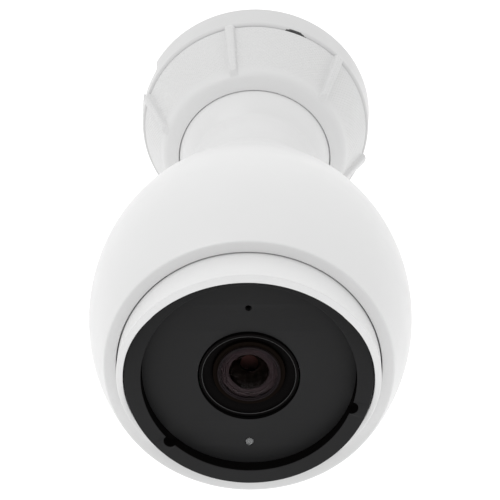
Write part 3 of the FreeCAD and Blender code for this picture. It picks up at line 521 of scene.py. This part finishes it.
def make_shell():
    touch = (NECK_RAD + NECK_FILLET) / (BALL_RAD + NECK_FILLET)
    along = math.sqrt(1 - touch ** 2)
    tail_rad = math.sqrt(BALL_RAD ** 2 - (BALL_AT - SHELL_REAR) ** 2)
    points = outline([
        (GLAND_SEAT_RAD, SHELL_REAR, 0, 0.2), (GROOVE_IN, SHELL_REAR, 0, 0.15), (GROOVE_IN, SHELL_REAR + 9),
        (GROOVE_OUT, SHELL_REAR + 9), (GROOVE_OUT, SHELL_REAR, 0, 0.15), (tail_rad, SHELL_REAR, BALL_RAD),
        (BALL_RAD * touch, BALL_AT + BALL_RAD * along, -NECK_FILLET),
        (NECK_RAD, BALL_AT + (BALL_RAD + NECK_FILLET) * along), (NECK_RAD, 44.5, -NECK_SWEEP),
        (*SHOULDER_LOW,), (*SHOULDER_HIGH, SHOULDER_SWEEP), (*BELLY, BELLY_SWEEP),
        (RIM_RAD - 0.05, RIM_AT, 0, 0.4), (MOUTH_RAD, RIM_AT, 0, 0.28),
        (MOUTH_RAD, RIM_AT - 2.6), (RIM_RAD - WALL, RIM_AT - 4.1, -(BELLY_SWEEP - WALL)),
        (BELLY[0] - WALL, BELLY[1], -(SHOULDER_SWEEP - WALL)), (SHOULDER_HIGH[0] - WALL, SHOULDER_HIGH[1]),
        (SHOULDER_LOW[0] - WALL, SHOULDER_LOW[1]), (NECK_BORE_RAD, 46.0), (NECK_BORE_RAD, SHELL_REAR + 6),
        (GLAND_SEAT_RAD, SHELL_REAR + 6),
    ])
    mesh = lathe_mesh("head_shell", points)
    piece = new_piece("head_shell", mesh, "head", ["outer_shell"])
    piece.data.materials.append(white_plastic("shell_white"))


def make_gland():
    rear = rear_of("neck_gland")
    front = front_of("neck_gland")
    points = outline([
        (3.25, rear, 0, 0.6), (5.6, rear, 0, 0.5), (6.2, rear + 2.2, 0, 0.4), (12.4, rear + 2.2, 0, 0.4),
        (12.4, front, 0, 0.3), (3.25, front, 0, 0.6),
    ])
    piece = new_piece("cable_gland", lathe_mesh("cable_gland", points), "gland", ["neck_gland"])
    piece.data.materials.append(rubber("gland_rubber"))


# --- Bezel with the brow ---------------------------------------------------------------------------

BEZEL_RAD = 31.45
BEZEL_IN_REAR = 30.3
BEZEL_IN_FRONT = 29.2
# The brow's front edge in side view, as (height, front) corners from the lowest to the highest.
BROW_SIDE = outline([(-33.0, 140.95), (8.0, 147.9, 0, 9.0), (20.4, 151.1, 0, 7.0), (31.6, BROW_AT, 0, 6.0),
                     (45.0, BROW_AT)], closed=False)
BROW_TABLE = [(point.x, point.y) for point in BROW_SIDE]


def browed(radius, front, angle):
    """Lower the bezel's front edge to the brow's side view, which falls away below."""
    if front < BROW_AT - 2:
        return radius, front
    lowered = BROW_AT - interpolate(BROW_TABLE, radius * math.sin(angle))
    if radius < (BEZEL_RAD + BEZEL_IN_FRONT) / 2:
        radius += (BEZEL_IN_REAR - BEZEL_IN_FRONT) * min(1.0, lowered / (BROW_AT - RIM_AT))
    return radius, front - lowered


def make_bezel():
    rear = rear_of("front_bezel")
    points = outline([
        (30.9, rear, 0, 0.1), (BEZEL_RAD, rear, 0, 0.15), (BEZEL_RAD, 139.0), (BEZEL_RAD, BROW_AT, 0, 0.32),
        (BEZEL_IN_FRONT, BROW_AT, 0, 0.3), (BEZEL_IN_REAR, 139.0), (BEZEL_IN_REAR, 138.0), (30.9, 138.0),
    ])
    mesh = lathe_mesh("brow_bezel", points, bend=browed)
    piece = new_piece("brow_bezel", mesh, "head", ["front_bezel"])
    piece.data.materials.append(white_plastic("bezel_white", 0.71))


# --- Black front -----------------------------------------------------------------------------------

PLATE_RAD = 29.6
POCKET_RAD = 25.6
POCKET_FLOOR = 141.6
NOTCH_RAD = 1.6
NOTCH_ANGLES = [math.radians(102.3 + 120 * i) for i in range(3)]
NOTCH_REACH = math.asin(NOTCH_RAD / POCKET_RAD)


def notched(radius, front, angle):
    """Push the pocket's wall outwards into the half-round keyways of the accessory seat."""
    if radius > POCKET_RAD + 0.4 or radius < POCKET_RAD - 0.1 or front < WINDOW_AT + 0.12:
        return radius, front
    for middle in NOTCH_ANGLES:
        offset = (angle - middle + math.pi) % math.tau - math.pi
        if abs(offset) < NOTCH_REACH:
            aside = POCKET_RAD * math.sin(offset)
            radius += math.sqrt(max(0.0, NOTCH_RAD ** 2 - aside ** 2))
    return radius, front


def notch_angles():
    """Angles round the pocket, closer together towards the ends of each keyway."""
    found = []
    for middle in NOTCH_ANGLES:
        found += [middle + NOTCH_REACH * math.sin(math.pi * (i / 20 - 0.5)) for i in range(21)]
    clear = NOTCH_REACH * 1.15
    for angle in even_angles():
        if all(abs((angle - middle + math.pi) % math.tau - math.pi) > clear for middle in NOTCH_ANGLES):
            found.append(angle)
    return sorted(angle % math.tau for angle in found)


def is_pocket_wall(middle):
    """True on the wall round the recess, with its keyways."""
    radius = math.hypot(middle.x, middle.z)
    return POCKET_RAD - 0.3 < radius < POCKET_RAD + NOTCH_RAD and -middle.y < PLATE_FRONT - 0.14


def make_front_plate():
    rear = rear_of("front_plate")
    points = outline([
        (28.3, rear, 0, 0.2), (PLATE_RAD, rear, 0, 0.2), (PLATE_RAD, PLATE_FRONT - 0.5, 0, 0.3),
        (POCKET_RAD, PLATE_FRONT, 0, 0.2), (POCKET_RAD, WINDOW_AT + 0.17), (POCKET_RAD, WINDOW_AT + 0.1),
        (POCKET_RAD, POCKET_FLOOR), (23.4, POCKET_FLOOR), (23.4, 139.4), (28.3, 139.4),
    ])
    mesh = lathe_mesh("front_ring", points, notch_angles(), bend=notched)
    piece = new_piece("front_ring", mesh, "head", ["front_plate"])
    piece.data.materials.append(black_plastic("front_black"))
    # The pocket's wall is painted a deeper black than the plate, as painted shade in the recess.
    paint_faces(piece, painted_shade_black("pocket_wall_painted_shade"), is_pocket_wall)


WINDOW_HOLE_RAD = 12.2


def is_in_window_bore(middle):
    """True on the wall of the hole that the lens hood stands in."""
    return math.hypot(middle.x, middle.z - LENS_UP) < WINDOW_HOLE_RAD + 0.04


def make_window():
    mic_up = height_of("mic_boot")
    sensor_up = height_of("light_pipe")
    loops = [circle_loop(25.5, LATHE_STEPS), circle_loop(WINDOW_HOLE_RAD, 128, LENS_UP),
             circle_loop(0.75, 48, mic_up), circle_loop(1.05, 48, sensor_up)]
    mesh = sheet_with_holes("dark_window", loops, WINDOW_AT, WINDOW_AT - WINDOW_REAR, 0.1)
    piece = new_piece("dark_window", mesh, "head", ["ir_window"])
    piece.data.materials.append(window_plastic())
    # The wall of the hole round the lens hood is painted near-black, as painted shade.
    paint_faces(piece, painted_shade_black("window_bore_painted_shade"), is_in_window_bore)


def make_light_pipe():
    rear = rear_of("light_pipe")
    front = front_of("light_pipe")
    neck = WINDOW_REAR - 0.1
    points = outline([
        (0, rear), (1.9, rear, 0, 0.1), (1.9, neck, 0, 0.1), (0.98, neck), (0.98, front - 0.22, 0, 0.12),
        (0.72, front - 0.1, 0, 0.08), (0.6, front - 0.25), (0, front - 0.02),
    ])
    mesh = lathe_mesh("light_sensor_lens", points, even_angles(64), up=height_of("light_pipe"))
    piece = new_piece("light_sensor_lens", mesh, "head", ["light_pipe"])
    piece.data.materials.append(clear_plastic())


# --- Lens ------------------------------------------------------------------------------------------

HOOD_RAD = 11.9
HOOD_LIP_IN = 11.1
HOOD_THROAT = (8.75, 141.5)
HOOD_CONE_END = 142.1
LIP_LOWEST = 142.6
LIP_SLOPE = (HOOD_TOP - LIP_LOWEST) / (2 * (HOOD_RAD + 1))
GLASS_RAD = 6.8
GLASS_FLANGE_RAD = 7.15
SEAT_WALL_RAD = 7.2
RETAINER_RAD = 7.55
DOME_RISE = 1.7
BARREL_RAD = 8.65
BORE_RAD = 4.6
MOUNT_FACE = 138.0
STOP_RAD = 2.2
STOP_FRONT = GLASS_SEAT - 3.8
STOP_REAR = GLASS_SEAT - 4.5


def slanted(radius, front, angle):
    """Cut the hood's lip on a slant, further forwards at the top."""
    if front < HOOD_TOP - 1:
        return radius, front
    return radius, front - LIP_SLOPE * (HOOD_RAD + 1 - radius * math.sin(angle))


def make_hood():
    rear = rear_of("lens_hood")
    points = outline([
        (HOOD_THROAT[0], rear, 0, 0.1), (HOOD_RAD, rear, 0, 0.2), (HOOD_RAD, 142.0),
        (HOOD_RAD, HOOD_TOP, 0, 0.14), (HOOD_LIP_IN, HOOD_TOP, 0, 0.12),
        (HOOD_LIP_IN, HOOD_CONE_END, 0, 0.15), (*HOOD_THROAT, 0, 0.25),
    ])
    mesh = lathe_mesh("lens_cone", points, up=LENS_UP, bend=slanted)
    piece = new_piece("lens_cone", mesh, "head", ["lens_hood"])
    piece.data.materials.append(hood_black_painted_shade())
    # A lighter grey on the lip's inner edge is a painted highlight.
    paint_faces(piece, surface("cone_lip_painted_highlight", (0.032, 0.032, 0.032), 0.4, Specular_IOR_Level=0.3), is_lip_edge)


def is_lip_edge(middle):
    """True on the inner edge of the hood's lip, which is painted a lighter grey as a painted highlight."""
    return HOOD_LIP_IN + 0.005 < math.hypot(middle.x, middle.z - LENS_UP) < HOOD_LIP_IN + 0.2


def is_blackened(middle):
    """True on the barrel's outer wall and front rim, and in its bore behind the glass."""
    radius = math.hypot(middle.x, middle.z - LENS_UP)
    return radius > SEAT_WALL_RAD + 0.3 or radius < BORE_RAD + 0.06 and -middle.y < GLASS_SEAT - 0.36


def make_lens():
    barrel_rear = rear_of("lens_barrel")
    seat = GLASS_SEAT
    barrel = outline([
        (BORE_RAD, barrel_rear, 0, 0.2), (6.0, barrel_rear, 0, 0.3), (6.0, MOUNT_FACE, 0, 0.3),
        (BARREL_RAD, MOUNT_FACE, 0, 0.2), (BARREL_RAD, GLASS_EDGE, 0, 0.2),
        (SEAT_WALL_RAD, GLASS_EDGE, 0, 0.05), (SEAT_WALL_RAD, seat - 0.06),
        (5.7, seat - 0.06, 0, 0.05), (5.55, seat - 0.2, 0, 0.05),
        (4.7, seat - 0.4, 0, 0.15), (BORE_RAD, seat - 1.2, 0, 0.2), (BORE_RAD, STOP_FRONT),
        (STOP_RAD, STOP_FRONT - 0.25, 0, 0.08), (STOP_RAD, STOP_REAR), (BORE_RAD, STOP_REAR),
    ])
    mesh = lathe_mesh("lens_tube", barrel, up=LENS_UP)
    piece = new_piece("lens_tube", mesh, "head", ["lens_barrel"])
    # The tube's brownish-mauve colour is partly its dark finish and partly the coating's reflection, painted in.
    piece.data.materials.append(dark_seat_and_painted_reflection())
    dull = surface("bore_black", (0.007, 0.005, 0.004), 0.8, Specular_IOR_Level=0.0)
    paint_faces(piece, dull, is_blackened)
    retainer_front = front_of("lens_retainer") + GLASS_FORWARD
    ring = outline([
        (GLASS_RAD, GLASS_EDGE, 0, 0.05), (RETAINER_RAD, GLASS_EDGE, 0, 0.1),
        (RETAINER_RAD, retainer_front - 0.1, 0, 0.1), (7.3, retainer_front, 0, 0.1),
        (7.05, retainer_front - 0.35, 0, 0.06), (GLASS_RAD, retainer_front - 0.3, 0, 0.1),
    ])
    mesh = lathe_mesh("glass_ring", ring, up=LENS_UP)
    piece = new_piece("glass_ring", mesh, "head", ["lens_retainer"])
    piece.data.materials.append(retainer_black())
    dome_radius = (GLASS_RAD ** 2 + DOME_RISE ** 2) / (2 * DOME_RISE)
    glass = outline([
        (0, seat + 1.0, -10.18), (4.4, seat), (GLASS_FLANGE_RAD, seat, 0, 0.1),
        (GLASS_FLANGE_RAD, GLASS_EDGE - 0.1, 0, 0.05), (GLASS_RAD, GLASS_EDGE - 0.1, dome_radius),
        (0, GLASS_EDGE - 0.1 + DOME_RISE),
    ])
    mesh = lathe_mesh("front_glass", glass, up=LENS_UP)
    piece = new_piece("front_glass", mesh, "head", ["front_lens"])
    piece.data.materials.append(coated_glass("front_coating", (0.88, 0.80, 0.82)))


def make_gasket():
    """The foam strip round the rim, open at the cable outlet."""
    half = math.asin(OUTLET_WIDE / 2 / GASKET_OUT)
    angles = [OUTLET_ANGLE + half + (math.tau - 2 * half) * i / LATHE_STEPS for i in range(LATHE_STEPS + 1)]
    loop = [(GASKET_OUT * math.cos(angle), GASKET_OUT * math.sin(angle)) for angle in angles]
    loop += [(GASKET_IN * math.cos(angle), GASKET_IN * math.sin(angle)) for angle in reversed(angles)]
    mesh = sheet_with_holes("wall_gasket", [loop], GASKET_THICK, GASKET_THICK, 0.15)
    piece = new_piece("wall_gasket", mesh, "mount", ["base_gasket"])
    piece.data.materials.append(rubber("gasket_rubber"))


# --- Materials -------------------------------------------------------------------------------------

def new_node(tree, kind, inputs=None, **settings):
    """Add a shader node, with its settings, and its inputs as values or as other nodes' outputs."""
    node = tree.nodes.new("ShaderNode" + kind)
    for key, value in settings.items():
        setattr(node, key, value)
    for key, value in (inputs or {}).items():
        if isinstance(value, bpy.types.NodeSocket):
            tree.links.new(value, node.inputs[key])
        else:
            node.inputs[key].default_value = value
    return node


def maths(tree, operation, *values):
    """The result of a maths node on numbers or sockets."""
    node = new_node(tree, "Math", dict(enumerate(values)), operation=operation)
    return node.outputs[0]


def object_place(tree):
    return new_node(tree, "TexCoord").outputs["Object"]


def noise(tree, scale, detail, roughness=0.5):
    inputs = {"Vector": object_place(tree), "Scale": scale, "Detail": detail, "Roughness": roughness}
    return new_node(tree, "TexNoise", inputs).outputs["Fac"]


def spread(tree, value, low, high, begin=0.3, end=0.7):
    """Map a value's begin to end onto low to high."""
    inputs = {"Value": value, "From Min": begin, "From Max": end, "To Min": low, "To Max": high}
    return new_node(tree, "MapRange", inputs).outputs["Result"]


def blend_colours(tree, share, first, second):
    """The mix of two colours, each a colour or a socket."""
    node = new_node(tree, "Mix", data_type="RGBA")
    sockets = {socket.identifier: socket for socket in node.inputs}
    for key, value in (("Factor_Float", share), ("A_Color", first), ("B_Color", second)):
        if isinstance(value, bpy.types.NodeSocket):
            tree.links.new(value, sockets[key])
        elif key == "Factor_Float":
            sockets[key].default_value = value
        else:
            sockets[key].default_value = (*value, 1)
    return next(socket for socket in node.outputs if socket.identifier == "Result_Color")


def scaled(colour, factor):
    return tuple(min(1.0, channel * factor) for channel in colour)


def bumped(tree, height, depth, below=None):
    """A bump from a height of 0 to 1, as deep as depth in millimetres, on top of another bump."""
    inputs = {"Height": height, "Distance": depth * MM, "Strength": 1.0}
    if below:
        inputs["Normal"] = below
    return new_node(tree, "Bump", inputs).outputs["Normal"]


def surface(name, colour, rough, vary=0.03, patch=55, grain=2400, depth=0.008, sway=0.05, **inputs):
    """A moulded, cast or painted surface: its colour and roughness drift slowly over it, over a fine
    grain. patch and grain are noise scales per metre, and depth is in millimetres."""
    material = bpy.data.materials.new(name)
    material.use_nodes = True
    tree = material.node_tree
    shader = tree.nodes["Principled BSDF"]
    drift = noise(tree, patch, 3)
    gloss = noise(tree, patch * 3.3, 4)
    fine = noise(tree, grain, 4, 0.6)
    tint = blend_colours(tree, spread(tree, drift, 0, 1), scaled(colour, 1 - vary), scaled(colour, 1 + vary))
    speckle = blend_colours(tree, spread(tree, fine, 0, 1), tint, scaled(colour, 1 + vary / 2))
    tree.links.new(speckle, shader.inputs["Base Color"])
    tree.links.new(spread(tree, gloss, rough - sway, rough + sway), shader.inputs["Roughness"])
    tree.links.new(bumped(tree, fine, depth), shader.inputs["Normal"])
    for key, value in inputs.items():
        shader.inputs[key.replace("_", " ")].default_value = value
    return material


def white_plastic(name, bright=0.69):
    return surface(name, (bright, bright, bright), 0.34, vary=0.012, depth=0.005)


KNURLS_ROUND = 150.0
KNURLS_ALONG = 6000.0
KNURL_DEPTH = 0.045


def knurled_plastic():
    """White plastic with a fine diamond knurl on the ring's cone, which is wider than its shoulder."""
    material = surface("ring_white", (0.65, 0.65, 0.65), 0.42, vary=0.012, depth=0.005)
    tree = material.node_tree
    shader = tree.nodes["Principled BSDF"]
    parts = new_node(tree, "SeparateXYZ", {"Vector": object_place(tree)}).outputs
    around = maths(tree, "MULTIPLY", maths(tree, "ARCTAN2", parts["Z"], parts["X"]), KNURLS_ROUND)
    along = maths(tree, "MULTIPLY", parts["Y"], KNURLS_ALONG)
    one = maths(tree, "SINE", maths(tree, "ADD", around, along))
    other = maths(tree, "SINE", maths(tree, "SUBTRACT", around, along))
    diamonds = maths(tree, "MAXIMUM", one, other)
    radius = maths(tree, "SQRT", maths(tree, "ADD", maths(tree, "POWER", parts["X"], 2.0),
                                       maths(tree, "POWER", parts["Z"], 2.0)))
    on_cone = spread(tree, radius, 0, 1, 25.4 * MM, 26.4 * MM)
    height = maths(tree, "MULTIPLY", diamonds, on_cone)
    below = shader.inputs["Normal"].links[0].from_socket
    tree.links.new(bumped(tree, height, KNURL_DEPTH, below), shader.inputs["Normal"])
    return material


def black_plastic(name):
    return surface(name, (0.016, 0.016, 0.0165), 0.5, vary=0.12, depth=0.008, Specular_IOR_Level=0.09)


def window_plastic():
    return surface("window_black", (0.019, 0.019, 0.0195), 0.46, vary=0.08, depth=0.002,
                   Specular_IOR_Level=0.08)


# A flat near-black that paints shade onto walls in shadow: the plate's pocket wall and the window's hole wall.
def painted_shade_black(name):
    return surface(name, (0.0035, 0.0032, 0.0032), 0.7, vary=0.15, depth=0.01, Specular_IOR_Level=0.0)


# The lens hood is black plastic, made far darker than the plate's black as painted shade inside the cone.
def hood_black_painted_shade():
    return surface("hood_black_painted_shade", (0.0036, 0.0032, 0.0032), 0.62, vary=0.15, depth=0.01,
                   Specular_IOR_Level=0.02)


def retainer_black():
    return surface("retainer_black", (0.009, 0.006, 0.007), 0.4, vary=0.15, depth=0.004,
                   Specular_IOR_Level=0.08)


def rubber(name, bright=0.035):
    return surface(name, (bright, bright, bright), 0.72, vary=0.15, depth=0.02, Specular_IOR_Level=0.35)


# The glass seat's own dark finish, with the lens coating's mauve reflection painted into its colour.
def dark_seat_and_painted_reflection():
    return surface("lens_tube_dark_and_painted_reflection", (0.030, 0.0245, 0.026), 0.5, vary=0.08, depth=0.004,
                   Specular_IOR_Level=0.1)


def coated_glass(name, tint, clear=1.0):
    """Glass whose coating takes most of its reflection away, which a low refractive index stands in for."""
    return surface(name, tint, 0.02, vary=0.04, depth=0.0, sway=0.01, Transmission_Weight=clear, IOR=1.12,
                   Specular_Tint=(0.08, 0.06, 0.07, 1.0))


def clear_plastic():
    return surface("sensor_clear", (0.93, 0.95, 0.96), 0.06, vary=0.02, depth=0.0005, sway=0.02,
                   Transmission_Weight=0.85, IOR=1.49)


def board_green():
    """Solder mask over copper tracks, with tinned pads."""
    material = surface("board_mask", (0.012, 0.070, 0.036), 0.38, vary=0.15, depth=0.004)
    tree = material.node_tree
    shader = tree.nodes["Principled BSDF"]
    tracks = new_node(tree, "TexBrick", {"Vector": object_place(tree), "Scale": 420.0, "Mortar Size": 0.03,
                                         "Brick Width": 1.7, "Row Height": 0.5})
    pads = new_node(tree, "TexVoronoi", {"Vector": object_place(tree), "Scale": 330.0, "Randomness": 0.35})
    is_pad = spread(tree, pads.outputs["Distance"], 1, 0, 0.14, 0.17)
    mask = shader.inputs["Base Color"].links[0].from_socket
    tracked = blend_colours(tree, tracks.outputs["Fac"], mask, (0.022, 0.11, 0.055))
    tree.links.new(blend_colours(tree, is_pad, tracked, (0.55, 0.53, 0.48)), shader.inputs["Base Color"])
    tree.links.new(is_pad, shader.inputs["Metallic"])
    return material


INNER_FINISHES = {
    "grey_acetal": lambda: surface("acetal_grey", (0.42, 0.42, 0.43), 0.4, vary=0.04, depth=0.006),
    "black_plastic": lambda: black_plastic("inner_black"),
    "rubber": lambda: rubber("inner_rubber"),
    # The inner coated glass gets a reddish base colour, which is the coating's reddish reflection painted in.
    "coated_glass": lambda: coated_glass("red_coating_painted_reflection", (0.13, 0.065, 0.06), clear=0.2),
    "filter_glass": lambda: coated_glass("filter_blue", (0.42, 0.72, 0.74)),
    "clear_glass": clear_plastic,
    "aluminium": lambda: surface("cast_aluminium", (0.62, 0.63, 0.64), 0.36, vary=0.06, patch=180, grain=1500,
                                 depth=0.02, Metallic=1.0),
    "screw_steel": lambda: surface("screw_steel", (0.50, 0.49, 0.47), 0.28, vary=0.08, patch=400, depth=0.006,
                                   Metallic=1.0),
    "circuit_board": board_green,
    "chip_resin": lambda: surface("chip_resin", (0.022, 0.022, 0.024), 0.55, vary=0.15, depth=0.012),
    "emitter_resin": lambda: surface("emitter_resin", (0.55, 0.50, 0.30), 0.22, vary=0.06, depth=0.002,
                                     Coat_Weight=0.5),
    "thermal_silicone": lambda: surface("silicone_grey", (0.30, 0.33, 0.40), 0.78, vary=0.08, depth=0.03),
    "brass": lambda: surface("turned_brass", (0.75, 0.54, 0.24), 0.30, vary=0.06, patch=300, depth=0.004,
                             Metallic=1.0),
}


def finish_inner_parts():
    """Give every CAD node that no piece replaces the finish of its material slot."""
    made = {}
    for part in frame["record"]["subparts"]:
        node = frame["nodes"][part["node"]]
        slot = part["material_slot"]
        if node.hide_render:
            continue
        if slot not in made:
            made[slot] = INNER_FINISHES[slot]()
        for place in node.material_slots:
            place.material = made[slot]


# --- Stage, light and camera -----------------------------------------------------------------------

FLOOR_AT = -0.25


def make_stage():
    """A plain pale floor below the object."""
    bm = bmesh.new()
    level = Matrix.Translation((0, 0, FLOOR_AT))
    bmesh.ops.create_grid(bm, x_segments=8, y_segments=8, size=4.0, matrix=level)
    mesh = bpy.data.meshes.new("floor")
    bm.to_mesh(mesh)
    bm.free()
    floor = bpy.data.objects.new("floor", mesh)
    bpy.context.scene.collection.objects.link(floor)
    paper = surface("floor_paper", (0.9, 0.9, 0.9), 0.9, vary=0.01, patch=2, grain=300, depth=0.05)
    shader = paper.node_tree.nodes["Principled BSDF"]
    shader.inputs["Emission Color"].default_value = (1, 1, 1, 1)
    shader.inputs["Emission Strength"].default_value = 0.25
    floor.data.materials.append(paper)


SKY_FRONT = 0.74
SKY_BEHIND = 1.15
LAMP_SIZE = 0.9
LAMP_AIM = Vector((0, -0.08, 0))


def make_light():
    """An even pale sky, brighter behind the wall than in front of it, and two soft lamps."""
    world = bpy.data.worlds.new("studio")
    world.use_nodes = True
    tree = world.node_tree
    background = tree.nodes["Background"]
    background.inputs["Color"].default_value = (1, 1, 1, 1)
    way = new_node(tree, "TexCoord").outputs["Generated"]
    behind = new_node(tree, "SeparateXYZ", {"Vector": way}).outputs["Y"]
    tree.links.new(spread(tree, behind, SKY_FRONT, SKY_BEHIND, -1, 1), background.inputs["Strength"])
    bpy.context.scene.world = world
    for name, place, power in (("key", (-0.7, -0.3, 1.25), 4.2), ("side", (1.1, -0.8, 0.5), 1.2)):
        lamp = bpy.data.lights.new(name, "AREA")
        lamp.size = LAMP_SIZE
        lamp.energy = power
        holder = bpy.data.objects.new(name, lamp)
        holder.location = place
        holder.rotation_euler = (LAMP_AIM - Vector(place)).to_track_quat("-Z", "Y").to_euler()
        bpy.context.scene.collection.objects.link(holder)


def make_camera():
    lens = bpy.data.cameras.new("camera")
    lens.sensor_width = 36
    lens.lens = 180
    lens.clip_start = 0.01
    camera = bpy.data.objects.new("camera", lens)
    right = Vector((0.99988, 0.01343, -0.00736)).normalized()
    forward = Vector((-0.01532, 0.87711, -0.48005)).normalized()
    up = right.cross(forward)
    right = forward.cross(up)
    camera.matrix_world = Matrix((right, up, -forward)).transposed().to_4x4()
    camera.location = (0.00935, -0.65038, 0.31056)
    bpy.context.scene.collection.objects.link(camera)
    bpy.context.scene.camera = camera
    bpy.context.scene.view_settings.view_transform = "Standard"


make_camera()
make_wall_base()
make_gasket()
make_locking_ring()
make_shell()
make_gland()
make_bezel()
make_front_plate()
make_window()
make_light_pipe()
make_hood()
make_lens()
finish_inner_parts()
make_stage()
make_light()
